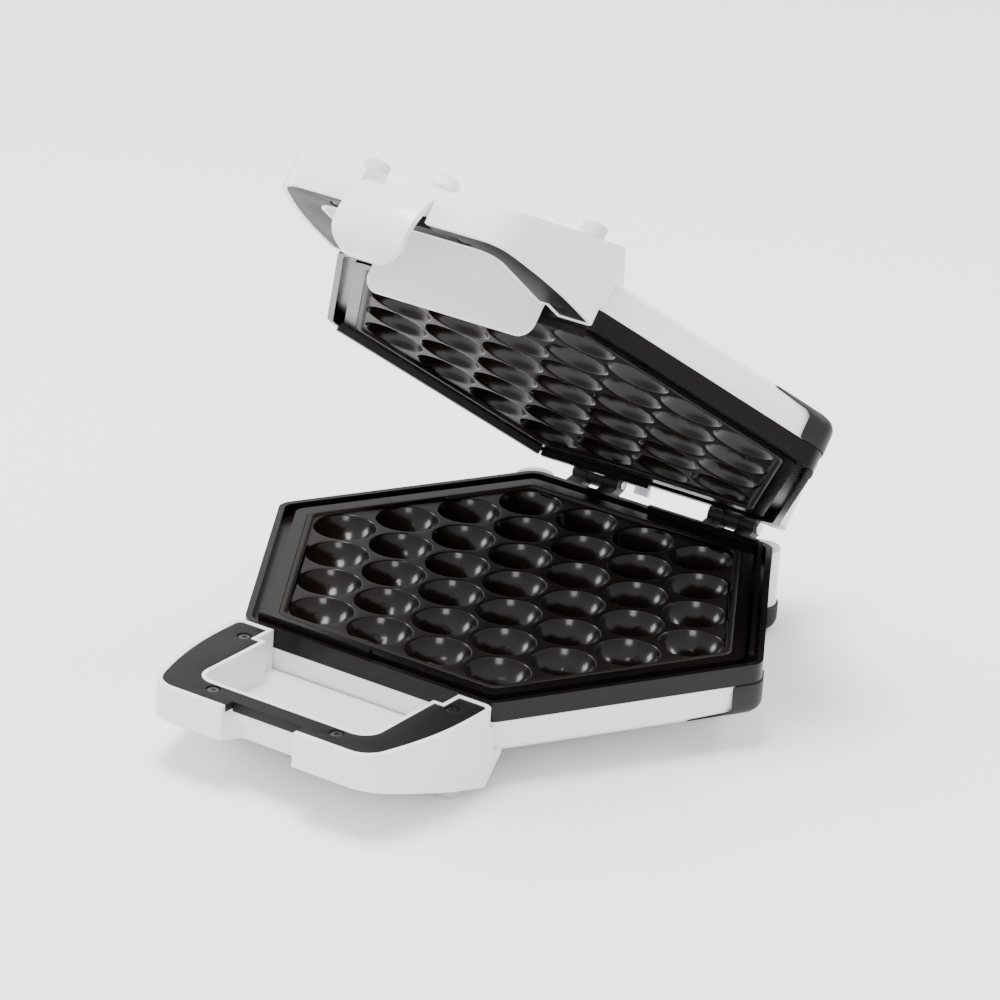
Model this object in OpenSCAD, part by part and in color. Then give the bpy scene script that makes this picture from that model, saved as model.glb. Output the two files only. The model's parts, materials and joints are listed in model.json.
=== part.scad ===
// Turn-over bubble waffle maker: two hexagonal halves, each one moulding with its own handle,
// joined by a pair of hinges at the back and held shut by a clip on the front of the lid.
// Both halves come from the same tools: the lid is the base turned over about the front-to-back axis.
// Design axes: X to the right, Y to the back, Z up, with the middle of the cooking plate on the seam.

/* [Cooking plates] */
// Distance between the centres of neighbouring bubbles
bubble_pitch = 29; // [28:0.1:35]
// Radius of a bubble's mouth
bubble_r = 13.4; // [11:0.1:13.8]
// Depth of a bubble below the web
bubble_depth = 10; // [8:0.1:12]
// Wall of the cast plate
plate_wall = 1.6; // [1.4:0.1:2]
// Depth of the web between the bubbles below the seam
web_drop = 1.5; // [1:0.1:2]
// Width of the plate outside the centres of its outer rows of bubbles
plate_border = 16.656; // [16:0.001:20]

/* [Bezels] */
// Width of a bezel outside the plate
bezel_w = 13; // [12.5:0.1:16]
// Height of a bezel's outer wall
bezel_h = 8.5; // [7.5:0.1:10]
// Rounding of a bezel's corners
bezel_corner_r = 8; // [5:0.5:12]
// Height of the batter dam above the seam
dam_h = 2.6; // [1.5:0.1:3.2]
// Depth of the batter channel below the seam
channel_depth = 5; // [4:0.1:5.5]

/* [Shells] */
// Room from the bubbles to the underside of a shell
under_room = 9.4; // [9.2:0.1:12]
// Wall of the moulded shells
shell_wall = 2.4; // [2:0.1:3]
// Height of a shell's underside above the table
foot_h = 14.5; // [13.5:0.5:19]

/* [Handle] */
// Length of the handle in front of the bezel
handle_l = 71.5; // [64:0.5:88]
// Width of the handle at its front, before its corners are rounded
handle_front_w = 104; // [98:1:110]
// Width of the handle where it meets the bezel
handle_rear_w = 126.6; // [122:0.2:134]
// Rounding of the handle's front corners
handle_corner_r = 13; // [9:1:18]
// Depth of the handle at its front
handle_front_h = 15.4; // [14:0.1:18]
// Height of the handle's foot block above the table
block_gap = 3; // [2:0.5:6]
// Width of the finger well
well_w = 82; // [76:1:84]
// Depth of the finger well below the seam
well_depth = 18; // [15:0.5:19]
// Width of the front strip between the finger well and the handle's front
grip_bar = 16.5; // [15:0.5:20]

/* [Clip] */
// Width of the clip
clip_w = 33.4; // [30:0.2:36]
// How far the clip hangs below the seam when it is shut
clip_drop = 21; // [19:0.5:23]
// How far the clip stands open at rest
clip_rest_angle = 10; // [8:1:20]

/* [Hinge] */
// Distance from the back of a bezel to the hinge axis
hinge_offset = 11; // [10.4:0.1:14]
// Radius of a hinge barrel
barrel_r = 4; // [3.4:0.1:4.6]
// Radius of a hinge pin
hinge_pin_r = 1.8; // [1.5:0.1:2]
// How far the lid stands open at rest
lid_rest_angle = 40.3; // [20:0.1:60]

/* [Hidden] */
$fn = 48;
eps = 0.01;
gap = 0.2;              // clearance between pieces that touch
seam_gap = 0.2;         // each half's lip stops this far short of the seam
run_clear = 0.05;       // radial clearance of a pin that turns

// the main frame, from which everything else is placed
bubbles_a_side = 4;
row_step = bubble_pitch * sin(60);
plate_apothem = row_step * (bubbles_a_side - 1) + plate_border;
bezel_apothem = plate_apothem + bezel_w;
shell_depth = web_drop + bubble_depth + plate_wall + under_room;
stand_h = shell_depth + foot_h;
handle_reach = bezel_apothem + handle_l;
handle_rear_h = stand_h - block_gap;
hinge_reach = bezel_apothem + hinge_offset;

// cooking plates
bubble_sphere_r = (bubble_r * bubble_r + bubble_depth * bubble_depth) / (2 * bubble_depth);
bubble_centre_z = bubble_sphere_r - bubble_depth - web_drop;
slab_h = 2.1;
plate_rim_w = 3;
plate_corner_r = 6;
plate_bottom_z = -web_drop - slab_h;
plate_screw_apothem = row_step * (bubbles_a_side - 1) + 11.5;
plate_boss_r = 2.6;
plate_boss_h = 2.7;
plate_boss_bore_r = 1.1;
plate_screw_head_r = 3.8;
tab_r = plate_boss_r + 1.2;

// bezels
bezel_lip_w = 2.6;
channel_w = 5;
ledge_z = plate_bottom_z - gap;
ledge_h = 2.4;
ledge_apothem = plate_apothem - 2;
band_z = -0.6;
floor_h = 1.5;
dam_w = 2;
channel_mid = bezel_apothem - bezel_lip_w - channel_w / 2;
dam_trim = 1.2;         // the half dams stop this far from the middle of a side
dam_end = 1;            // and every dam this far from a corner
boss_plane_z = -channel_depth - floor_h;

// shells
shell_draft = 1.2;
shell_edge_r = 2.2;
shell_floor_z = -shell_depth + shell_wall;
shell_top_z = -bezel_h - gap;
handle_lip_z = -0.7;
handle_wall = 2.3;
handle_front_y = -handle_reach;
handle_rear_y = -bezel_apothem - gap;
block_rear_y = -bezel_apothem - 5;
block_foot_y = -bezel_apothem + 5.5;
wedge_slope = (handle_rear_h - handle_front_h) / (handle_reach + block_rear_y);
grip_plate_h = 3;
grip_plate_z = handle_lip_z - 0.2;
well_front_y = handle_front_y + grip_bar;
well_corner_r = 7;
well_wall = 1.8;
ear_w = well_w + 9;
ear_l = 11;
notch_w = clip_w + 1.2;
notch_depth = 8;
notch_back_y = handle_front_y + notch_depth;
notch_pocket_z = -8.6;
notch_pocket_back_y = notch_back_y + 7;
flare_steps = 10;
flare_y = -bezel_apothem - 15;
rear_corner_r = 5;
grip_screws = [[51, -bezel_apothem - 12.5], [30, notch_back_y + 3.2]];
grip_screw_r = 1.5;
grip_head_r = 2.8;
grip_head_h = 1.4;
grip_boss_r = 3.6;
screw_l = 9;

// feet and bumpers
front_foot_x = 52;
front_foot_y = block_rear_y - 8.5;
front_foot_r = 5.2;
foot_recess = 1;
front_foot_seat = stand_h + foot_recess
  - (handle_front_h + wedge_slope * (handle_reach + front_foot_y - front_foot_r));
post_r = 8.1;
post_x = bezel_apothem * tan(30) - 2.6;
post_y = bezel_apothem - 4.6;
post_bottom_z = -shell_depth - 2.5;
rear_foot_r = 9;
rear_foot_flat_r = 4.6;
rear_foot_round = 6;
bumper_cut_x = bezel_apothem / cos(30) - 6.1;
bumper_grow = 0.7;
bumper_top_z = -bezel_h - gap;
bumper_round = 6;
bumper_bottom_z = -shell_depth - 0.6;
bumper_tail_x = bumper_cut_x - 12;
bumper_depth = 1.2;
bumper_rim = 5.5;
foot_peg_r = 2;
foot_peg_h = 4;

// shell screws
shell_boss_apothem = bezel_apothem - 10;        // along a corner's direction this is its distance over cos(30)
shell_boss_r = 3.4;
shell_screw_r = 1.5;
shell_head_r = 2.8;
shell_screw_top_z = -2.3;

// heater and what goes with it
heater_row = 2.5;
heater_r = 3;
heater_bend_r = 12;
heater_gap = 0.51;      // between the heater and the bubbles beside it
heater_z = bubble_centre_z
  - sqrt(pow(bubble_sphere_r + plate_wall + heater_r + heater_gap, 2) - pow(row_step / 2, 2));
heater_pin_r = 1.2;
heater_pin_l = 6;
heater_inset = 7.78;    // the heater's ends stop this far inside the plate's rear flat
heater_tail = (plate_apothem - heater_inset - row_step * heater_row / 2) / cos(30) - heater_pin_l;
heater_end = [-row_step * heater_row * cos(30) + (heater_tail + heater_pin_l) / 2,
  row_step * heater_row / 2 + (heater_tail + heater_pin_l) * cos(30)];
bend_lap = 0.4;         // a straight runs this far into a bend
bend_swell = 0.1;       // and a bend is this much fuller than a straight
reflector_z = shell_floor_z + 0.4;
reflector_h = 0.6;
reflector_apothem = plate_apothem - 6;
thermostat_r = 8;
thermostat_h = 4.6;
thermostat_z = bubble_centre_z - bubble_sphere_r - plate_wall - 0.1;
strap_w = 7;
strap_h = 0.8;
gland_z = -(shell_depth + 7.5) / 2;
gland_r = 5.4;
gland_bore_r = 3.6;
gland_flange_r = 7.6;
gland_flange_h = 2;
gland_tail = 9;
wire_r = 1;
wire_z = shell_floor_z + 3.5;
wire_up = 1.5;          // a wire rises this far behind a heater's end
wire_turn = 1.15;       // the ball at a wire's bend against the wire
fuse_r = 2;
fuse_l = 12;
terminal_w = 26;
terminal_d = 9;
terminal_x = -46;
terminal_y = bezel_apothem - 15.5;
terminal_pitch = 9;
terminal_screw_r = 1.5;

// hinges
hinge_inner_x = 23;
hinge_outer_x = 46.5;
knuckle_gap = 0.3;
knuckle_w = (hinge_outer_x - hinge_inner_x - 2 * knuckle_gap) / 3;
flange_h = 1.5;
flange_top_z = -1.6;
flange_bottom_z = -bezel_h + 0.5;
sleeve_in_x = 15.5;
sleeve_out_x = 22.4;
sleeve_inner_r = 10.4;
sleeve_outer_r = 12.8;
sleeve_from = 5;
sleeve_to = 115;
sleeve_root_z = 7.8;
sleeve_root_h = 4.4;

// clip, in the closed position
clip_pivot_y = handle_front_y + 4.2;
clip_pivot_z = 7.6;
clip_pin_r = 1.25;
clip_boss_r = 3.1;
clip_wall = 3;
clip_outer_r = 24.9;
clip_top_z = 10.7;
clip_bulge = 5;
clip_corner_r = 10;
clip_corner_step = 9;
clip_centre_y = handle_front_y - clip_bulge + clip_outer_r;
clip_centre_z = (clip_top_z - clip_drop) / 2;
clip_hook_z = notch_pocket_z - 0.5;
clip_hook_h = 2.6;
clip_hook_tip_y = notch_back_y + 2.2;

// indicator
lens_x = -16.5;
lens_y = block_rear_y - 12;
lens_r = 5.4;
lens_dome_r = 7.4;
lens_seat_z = handle_front_h + wedge_slope * (handle_reach + lens_y + lens_r) + 0.2;

// heat guard
guard_x = 40;
guard_y = -bezel_apothem - 4.2;
guard_t = 2;
guard_drop = 12.8;
guard_corner_r = 7;

// where the parts stand: the origin is on the table, in the middle of the footprint at rest
lid_reach_back = hinge_reach + (post_y + rear_foot_r - rear_foot_round - hinge_reach) * cos(lid_rest_angle)
  + (stand_h - rear_foot_round) * sin(lid_rest_angle) + rear_foot_round;
origin_shift_y = (handle_reach - lid_reach_back) / 2;

// ---------- outlines ----------

// the corners of a hexagon with flats at front and back
function hexagon_points(a) = [for (i = [0:5]) a / cos(30) * [cos(60 * i), sin(60 * i)]];

module soft_hexagon(a, r) {
  offset(r = r) polygon(hexagon_points(a - r));
}

module hexagon_ring(a_out, r_out, a_in, r_in) {
  difference() {
    soft_hexagon(a_out, r_out);
    soft_hexagon(a_in, r_in);
  }
}

// half the handle's width: straight at the back, then drawn in along a curve towards the front
function handle_half_w(y) =
  let (share = max(0, (flare_y - y) / (flare_y - handle_front_y)))
    (handle_rear_w - (handle_rear_w - handle_front_w) * share * share) / 2;

module handle_side_outline(rear_y) {
  side = [for (i = [0:flare_steps])
    let (y = flare_y + (handle_front_y - flare_y) * i / flare_steps) [handle_half_w(y), y]];
  right = concat([[handle_rear_w / 2, rear_y]], side);
  polygon(concat(right, [for (i = [len(right) - 1:-1:0]) [-right[i].x, right[i].y]]));
}

// the front corners take a large rounding, the corners beside the bezel a small one
module handle_outline() {
  intersection() {
    offset(r = handle_corner_r) offset(delta = -handle_corner_r)
      handle_side_outline(-bezel_apothem + handle_corner_r * 2);
    offset(r = rear_corner_r) offset(delta = -rear_corner_r)
      handle_side_outline(handle_rear_y);
  }
}

module well_outline(grow = 0) {
  offset(delta = grow) {
    offset(r = well_corner_r) translate([-well_w / 2 + well_corner_r, well_front_y + well_corner_r])
      square([well_w - 2 * well_corner_r, ear_l * 2]);
    translate([-well_w / 2, well_front_y + well_corner_r])
      square([well_w, handle_rear_y - well_front_y - well_corner_r]);
    translate([-ear_w / 2, handle_rear_y - ear_l]) square([ear_w, ear_l]);
  }
}

// ---------- placing ----------

module along_x(x0, x1) {
  translate([x0, 0, 0]) rotate([90, 0, 90]) linear_extrude(x1 - x0) children();
}

module both_sides() {
  children();
  mirror([1, 0, 0]) children();
}

module every_side() {
  for (i = [0:5]) rotate([0, 0, 60 * i]) children();
}

module every_bubble() {
  for (row = [1 - bubbles_a_side:bubbles_a_side - 1]) {
    count = 2 * bubbles_a_side - 1 - abs(row);
    for (i = [0:count - 1])
      translate([(i - (count - 1) / 2) * bubble_pitch, row * row_step, bubble_centre_z]) children();
  }
}

module upright() {
  translate([0, origin_shift_y, stand_h]) children();
}

module on_lid() {
  upright() translate([0, hinge_reach, 0]) rotate([-lid_rest_angle, 0, 0])
    translate([0, -hinge_reach, 0]) children();
}

// a base piece turned over for the lid
module turned_over() {
  on_lid() rotate([0, 180, 0]) children();
}

module on_clip() {
  on_lid() translate([0, clip_pivot_y, clip_pivot_z]) rotate([-clip_rest_angle, 0, 0])
    translate([0, -clip_pivot_y, -clip_pivot_z]) children();
}

// ---------- shells ----------

module pan_body(inset) {
  hull() {
    translate([0, 0, shell_top_z - eps + inset]) linear_extrude(eps)
      soft_hexagon(bezel_apothem - inset, bezel_corner_r - inset);
    translate([0, 0, -shell_depth + inset + shell_edge_r]) linear_extrude(eps)
      soft_hexagon(bezel_apothem - shell_draft - inset, bezel_corner_r - inset);
    translate([0, 0, -shell_depth + inset]) linear_extrude(eps)
      soft_hexagon(bezel_apothem - shell_draft - shell_edge_r - inset, bezel_corner_r - inset);
  }
}

// the handle seen from the side: a wedge that ends in the foot block
module handle_profile(inset) {
  polygon([
    [handle_front_y - 1, handle_lip_z],
    [handle_front_y - 1, -handle_front_h + inset + wedge_slope],
    [block_rear_y - inset, -handle_rear_h + inset],
    [block_foot_y - inset, -shell_depth + inset],
    [block_foot_y - inset, -shell_depth + shell_wall + inset],
    [handle_rear_y - inset, shell_floor_z],
    [handle_rear_y - inset, handle_lip_z]]);
}

module handle_body(inset) {
  reach = handle_rear_w / 2 + 1;
  intersection() {
    along_x(-reach, reach) handle_profile(inset);
    union() {
      translate([0, 0, -handle_rear_h - 1]) linear_extrude(handle_rear_h + 1) offset(delta = -inset)
        handle_outline();
      translate([0, 0, -handle_rear_h - 1]) linear_extrude(handle_rear_h + 1 + shell_top_z - inset)
        offset(delta = -inset) union() {
          handle_outline();
          translate([-handle_rear_w / 2, flare_y]) square([handle_rear_w, block_foot_y - flare_y + 1]);
        }
    }
  }
}

module finger_well(grow) {
  bottom_z = -well_depth - grow;
  translate([0, 0, bottom_z]) linear_extrude(-bottom_z) well_outline(grow);
}

// the space that the clip takes in the front of the handle
module notch(grow = 0) {
  half = notch_w / 2 + grow;
  along_x(-half, half) polygon([
    [handle_front_y - 2, 1],
    [handle_front_y - 2, -handle_rear_h],
    [notch_pocket_back_y + grow, -handle_rear_h],
    [notch_pocket_back_y + grow, notch_pocket_z + grow],
    [notch_back_y + grow, notch_pocket_z + grow],
    [notch_back_y + grow, 1]]);
}

module rear_post() {
  translate([post_x, post_y, post_bottom_z]) cylinder(r = post_r, h = -post_bottom_z - seam_gap);
}

module bezel_space() {
  translate([0, 0, -bezel_h - gap]) linear_extrude(bezel_h + 1)
    soft_hexagon(bezel_apothem + gap, bezel_corner_r + gap);
}

module grip_bosses(r) {
  for (p = grip_screws)
    translate([p.x, p.y, -handle_rear_h])
      cylinder(r = r, h = handle_rear_h + grip_plate_z - grip_plate_h - gap / 2);
}

module shell_bosses(r, from_z, to_z) {
  every_side() translate([shell_boss_apothem / cos(30), 0, from_z]) cylinder(r = r, h = to_z - from_z);
}

module shell() {
  difference() {
    union() {
      pan_body(0);
      handle_body(0);
      both_sides() rear_post();
    }
    difference() {
      pan_body(shell_wall);
      shell_bosses(shell_boss_r, -shell_depth, boss_plane_z - gap / 2);
    }
    difference() {
      handle_body(handle_wall);
      finger_well(well_wall);
      notch(handle_wall);
      both_sides() grip_bosses(grip_boss_r);
    }
    finger_well(0);
    notch();
    bezel_space();
    both_sides() {
      for (p = grip_screws) translate([p.x, p.y, -screw_l - 1]) cylinder(r = grip_screw_r, h = screw_l + 1);
      translate([0, 0, grip_plate_z - grip_plate_h - gap / 2]) linear_extrude(grip_plate_h + 2)
        difference() {
          grip_plate_outline(gap / 2);
          well_outline(well_wall);
        }
      translate([front_foot_x, front_foot_y, -stand_h])
        cylinder(r = front_foot_r + gap / 2, h = front_foot_seat);
      translate([post_x, post_y, -stand_h])
        cylinder(r = foot_peg_r + gap / 2, h = stand_h + post_bottom_z + foot_peg_h);
    }
    bumper_space();
    shell_bosses(shell_screw_r, -shell_depth - 1, boss_plane_z + 1);
    shell_bosses(shell_head_r, -shell_depth - 4, -shell_depth + 1.2);
  }
}

// ---------- grip plate ----------

module grip_plate_outline(grow = 0) {
  difference() {
    union() {
      offset(delta = -handle_wall + grow) handle_outline();
      translate([-well_w / 2, handle_rear_y - ear_l]) square([well_w, ear_l]);
    }
    translate([-handle_rear_w, handle_rear_y - gap / 2 + eps]) square([handle_rear_w * 2, handle_rear_w]);
  }
}

module grip_plate() {
  top = grip_plate_z;
  difference() {
    union() {
      translate([0, 0, top - grip_plate_h]) linear_extrude(grip_plate_h) difference() {
        grip_plate_outline(-gap / 2);
        well_outline(well_wall + gap / 2);
        translate([-notch_w / 2, handle_front_y - 1]) square([notch_w, notch_depth + 1 - gap]);
      }
      // the lip that faces the clip's notch
      translate([-notch_w / 2 + gap, notch_back_y - 1.2 + gap, top - grip_plate_h - 1.2])
        cube([notch_w - 2 * gap, 1, grip_plate_h + 1.2]);
      translate([-notch_w / 2 + gap, notch_back_y - 1.2 + gap, top - grip_plate_h])
        cube([notch_w - 2 * gap, 4, grip_plate_h]);
    }
    both_sides() for (p = grip_screws) translate([p.x, p.y, 0]) {
      translate([0, 0, -grip_plate_h * 2]) cylinder(r = grip_screw_r + gap, h = grip_plate_h * 2);
      translate([0, 0, top - grip_head_h]) cylinder(r = grip_head_r + gap, h = grip_head_h + 1);
    }
  }
}

// a screw with its head up at z = 0 and a crossed recess
module screw(r, head_r, head_h, length) {
  difference() {
    union() {
      translate([0, 0, -head_h]) cylinder(r = head_r, h = head_h);
      translate([0, 0, -length]) cylinder(r = r, h = length);
    }
    for (a = [0, 90]) rotate([0, 0, a]) translate([-head_r * 0.6, -0.35, -head_h * 0.6])
      cube([head_r * 1.2, 0.7, head_h]);
  }
}

module grip_screws_set() {
  both_sides() for (p = grip_screws) translate([p.x, p.y, grip_plate_z - 0.3])
    screw(grip_screw_r - run_clear, grip_head_r, grip_head_h - 0.3 - eps, screw_l - 1);
}

// ---------- plate ----------

module plate() {
  difference() {
    union() {
      translate([0, 0, plate_bottom_z]) linear_extrude(slab_h) soft_hexagon(plate_apothem, plate_corner_r);
      translate([0, 0, plate_bottom_z]) linear_extrude(-plate_bottom_z - seam_gap)
        hexagon_ring(plate_apothem, plate_corner_r,
          plate_apothem - plate_rim_w, plate_corner_r - plate_rim_w / 2);
      every_bubble() rotate_extrude() intersection() {
        circle(r = bubble_sphere_r + plate_wall);
        translate([0, -bubble_sphere_r * 2])
          square([bubble_sphere_r * 2, bubble_sphere_r * 2 - bubble_centre_z - web_drop - slab_h / 2]);
      }
      every_side() translate([0, plate_screw_apothem, plate_bottom_z - plate_boss_h])
        cylinder(r = plate_boss_r, h = plate_boss_h + eps);
    }
    every_bubble() sphere(r = bubble_sphere_r);
    every_side() translate([0, plate_screw_apothem, plate_bottom_z - plate_boss_h - 1])
      cylinder(r = plate_boss_bore_r, h = plate_boss_h + 1);
  }
}

// ---------- bezel ----------

// one length of the batter dam, from from_x along a side to near its corner
module dam(side, from_x) {
  rotate([0, 0, side]) translate([from_x, channel_mid - dam_w / 2, -channel_depth - eps])
    cube([channel_mid * tan(30) - dam_end - from_x, dam_w, channel_depth + dam_h]);
}

module bezel() {
  difference() {
    union() {
      translate([0, 0, -bezel_h]) linear_extrude(bezel_h - seam_gap)
        hexagon_ring(bezel_apothem, bezel_corner_r, ledge_apothem, plate_corner_r);
      every_side() translate([0, plate_screw_apothem, ledge_z - ledge_h]) {
        cylinder(r = tab_r, h = ledge_h);
        translate([-tab_r, 0, 0]) cube([2 * tab_r, ledge_apothem + 1 - plate_screw_apothem, ledge_h]);
      }
    }
    translate([0, 0, ledge_z]) linear_extrude(bezel_h) soft_hexagon(plate_apothem + gap, plate_corner_r + gap);
    translate([0, 0, -bezel_h - 1]) linear_extrude(bezel_h + 1 + ledge_z - ledge_h)
      soft_hexagon(ledge_apothem + 2, plate_corner_r);
    translate([0, 0, -bezel_h - 1]) linear_extrude(bezel_h + 1 + boss_plane_z)
      soft_hexagon(bezel_apothem - 2, bezel_corner_r - 2);
    translate([0, 0, band_z]) linear_extrude(1)
      soft_hexagon(bezel_apothem - bezel_lip_w - 1, bezel_corner_r - bezel_lip_w);
    translate([0, 0, -channel_depth]) linear_extrude(channel_depth + 1)
      hexagon_ring(bezel_apothem - bezel_lip_w, bezel_corner_r - bezel_lip_w,
        bezel_apothem - bezel_lip_w - channel_w, bezel_corner_r - bezel_lip_w);
    every_side() translate([0, plate_screw_apothem, -bezel_h])
      cylinder(r = plate_boss_r + gap, h = bezel_h);
    shell_bosses(shell_screw_r, boss_plane_z - 1, shell_screw_top_z + gap);
  }
}

// each half's dams drop into the other half's channel
module bezel_with_dams() {
  bezel();
  for (side = [0, 180]) dam(side, dam_trim);
  dam(300, dam_end - channel_mid * tan(30));
}

// ---------- heater ----------

// straight lengths and bends of a loop that runs between the rows of bubbles; it is open at the back,
// where the two cold ends come out between the last bubbles
module heater() {
  apothem = heater_row * row_step;
  half = (apothem - heater_bend_r) * tan(30) + bend_lap;
  translate([0, 0, heater_z]) {
    for (i = [3:6]) rotate([0, 0, 60 * i]) translate([(apothem - heater_bend_r) / cos(30), 0, 0])
      rotate([0, 0, -30]) rotate_extrude(angle = 60) translate([heater_bend_r, 0])
        circle(r = heater_r + bend_swell);
    for (i = [2:4]) rotate([0, 0, 60 * i]) translate([-half, apothem, 0]) rotate([0, 90, 0])
      cylinder(r = heater_r, h = 2 * half);
    both_sides() rotate([0, 0, 60]) translate([0, apothem, 0]) rotate([0, 90, 0]) {
      translate([0, 0, -half]) cylinder(r = heater_r, h = half + heater_tail);
      translate([0, 0, heater_tail - 1]) cylinder(r = heater_pin_r, h = heater_pin_l + 1);
    }
  }
}

module heater_clips() {
  apothem = heater_row * row_step;
  for (i = [1, 2, 4, 5]) rotate([0, 0, 60 * i]) translate([0, apothem, heater_z]) {
    difference() {
      rotate([0, 90, 0]) translate([0, 0, -strap_w / 2])
        cylinder(r = heater_r + run_clear + strap_h, h = strap_w);
      rotate([0, 90, 0]) translate([0, 0, -strap_w]) cylinder(r = heater_r + run_clear, h = 2 * strap_w);
      translate([-strap_w, -heater_r * 2, 0.8]) cube([2 * strap_w, heater_r * 4, heater_r * 2]);
    }
  }
}

module reflector() {
  translate([0, 0, reflector_z]) linear_extrude(reflector_h) difference() {
    soft_hexagon(reflector_apothem, plate_corner_r);
    circle(r = thermostat_r + 1);
  }
}

module thermostat() {
  translate([0, 0, thermostat_z - thermostat_h]) {
    cylinder(r = thermostat_r, h = thermostat_h);
    both_sides() translate([4, -1.5, -1.2]) cube([0.8, 3, 1.4]);
  }
}

// a run of round wire through a list of points
module wire(points) {
  for (i = [0:len(points) - 2]) {
    step = points[i + 1] - points[i];
    length = norm(step);
    translate(points[i]) rotate([0, acos(step.z / length), atan2(step.y, step.x)])
      cylinder(r = wire_r, h = length);
    if (i > 0) translate(points[i]) sphere(r = wire_r * wire_turn);
  }
}

// ---------- feet and bumpers ----------

module front_feet() {
  both_sides() translate([front_foot_x, front_foot_y, -stand_h])
    cylinder(r = front_foot_r, h = front_foot_seat - gap);
}

module rear_feet() {
  foot_top = stand_h + post_bottom_z - gap / 2;
  both_sides() translate([post_x, post_y, 0]) {
    translate([0, 0, -stand_h]) rotate_extrude() {
      square([rear_foot_flat_r, foot_top]);
      intersection() {
        translate([rear_foot_r - rear_foot_round, rear_foot_round]) circle(r = rear_foot_round);
        square([rear_foot_r, rear_foot_round]);
      }
      translate([0, rear_foot_round - eps]) square([rear_foot_r, foot_top - rear_foot_round]);
    }
    translate([0, 0, post_bottom_z - 1]) cylinder(r = foot_peg_r, h = foot_peg_h);
  }
}

// the side of a bumper seen from the front: its tail runs along the shell's lower edge
module bumper_outline(grow) {
  rotate([90, 0, 0]) translate([0, 0, -bezel_apothem]) linear_extrude(2 * bezel_apothem) offset(delta = grow)
    polygon([
      [bumper_cut_x, bumper_top_z + 1],
      [bumper_cut_x, -shell_depth + 4.4],
      [bumper_cut_x - 1.6, -shell_depth + 2.2],
      [bumper_tail_x, -shell_depth + 0.4],
      [bumper_tail_x, bumper_bottom_z - 1],
      [bumper_cut_x + 20, bumper_bottom_z - 1],
      [bumper_cut_x + 20, bumper_top_z + 1]]);
}

// a cap with a rounded lower edge
module bumper_body() {
  out_a = bezel_apothem + bumper_grow - bumper_round;
  centre_z = bumper_bottom_z + bumper_round;
  intersection() {
    hull() {
      translate([0, 0, bumper_top_z - eps]) linear_extrude(eps)
        soft_hexagon(out_a + bumper_round, bezel_corner_r);
      for (a = [0:18:90]) translate([0, 0, centre_z - bumper_round * sin(a)]) linear_extrude(eps)
        soft_hexagon(out_a + bumper_round * cos(a), bezel_corner_r);
    }
    bumper_outline(0);
  }
}

module bumper_inside(grow) {
  translate([0, 0, bumper_bottom_z - 1]) linear_extrude(shell_depth)
    soft_hexagon(bezel_apothem - bumper_rim - grow, bezel_corner_r);
}

// the step in the shell's corners that the bumpers sit in
module bumper_space() {
  difference() {
    both_sides() bumper_outline(gap);
    pan_body(bumper_depth);
    bumper_inside(gap);
  }
}

module corner_bumpers() {
  both_sides() difference() {
    bumper_body();
    pan_body(bumper_depth - gap);
    bumper_inside(0);
  }
}

// ---------- hinges ----------

module knuckle(x0, side_z) {
  along_x(x0, x0 + knuckle_w) difference() {
    union() {
      translate([hinge_reach, 0]) circle(r = barrel_r);
      polygon([
        [bezel_apothem + gap, side_z * flange_bottom_z],
        [bezel_apothem + gap, side_z * flange_top_z],
        [hinge_reach - barrel_r * 0.6, side_z * -0.2],
        [hinge_reach + barrel_r * 0.5, side_z * -barrel_r * 0.8],
        [bezel_apothem + gap + flange_h, side_z * flange_bottom_z]]);
    }
    translate([hinge_reach, 0]) circle(r = hinge_pin_r + run_clear);
  }
}

module hinge_flange(side_z) {
  z0 = side_z > 0 ? flange_bottom_z : -flange_top_z;
  translate([hinge_inner_x, bezel_apothem + gap, z0])
    cube([hinge_outer_x - hinge_inner_x, flange_h, flange_top_z - flange_bottom_z]);
}

module hinge_brackets() {
  both_sides() {
    knuckle(hinge_inner_x, 1);
    knuckle(hinge_outer_x - knuckle_w, 1);
    hinge_flange(1);
  }
}

module hinge_leaves() {
  both_sides() {
    knuckle(hinge_inner_x + knuckle_w + knuckle_gap, -1);
    hinge_flange(-1);
  }
}

module hinge_pin_set() {
  both_sides() translate([hinge_inner_x - 0.8, hinge_reach, 0]) rotate([0, 90, 0]) {
    cylinder(r = hinge_pin_r, h = hinge_outer_x - hinge_inner_x + 1.6);
    translate([0, 0, hinge_outer_x - hinge_inner_x + 0.8 + 0.1]) cylinder(r = hinge_pin_r + 0.8, h = 0.9);
  }
}

// curved sleeves that carry the wires round the hinge axis
module sleeves() {
  both_sides() {
    along_x(sleeve_in_x, sleeve_out_x) translate([hinge_reach, 0]) intersection() {
      difference() {
        circle(r = sleeve_outer_r);
        circle(r = sleeve_inner_r);
      }
      polygon(concat([[0, 0]], [for (a = [sleeve_from:10:sleeve_to]) 2 * sleeve_outer_r * [cos(a), sin(a)]]));
    }
    root_y = hinge_reach + (sleeve_inner_r + 0.4) * cos(sleeve_to);
    translate([sleeve_in_x, bezel_apothem + gap, sleeve_root_z])
      cube([sleeve_out_x - sleeve_in_x, root_y - bezel_apothem - gap, sleeve_root_h]);
  }
}

// ---------- clip ----------

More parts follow.
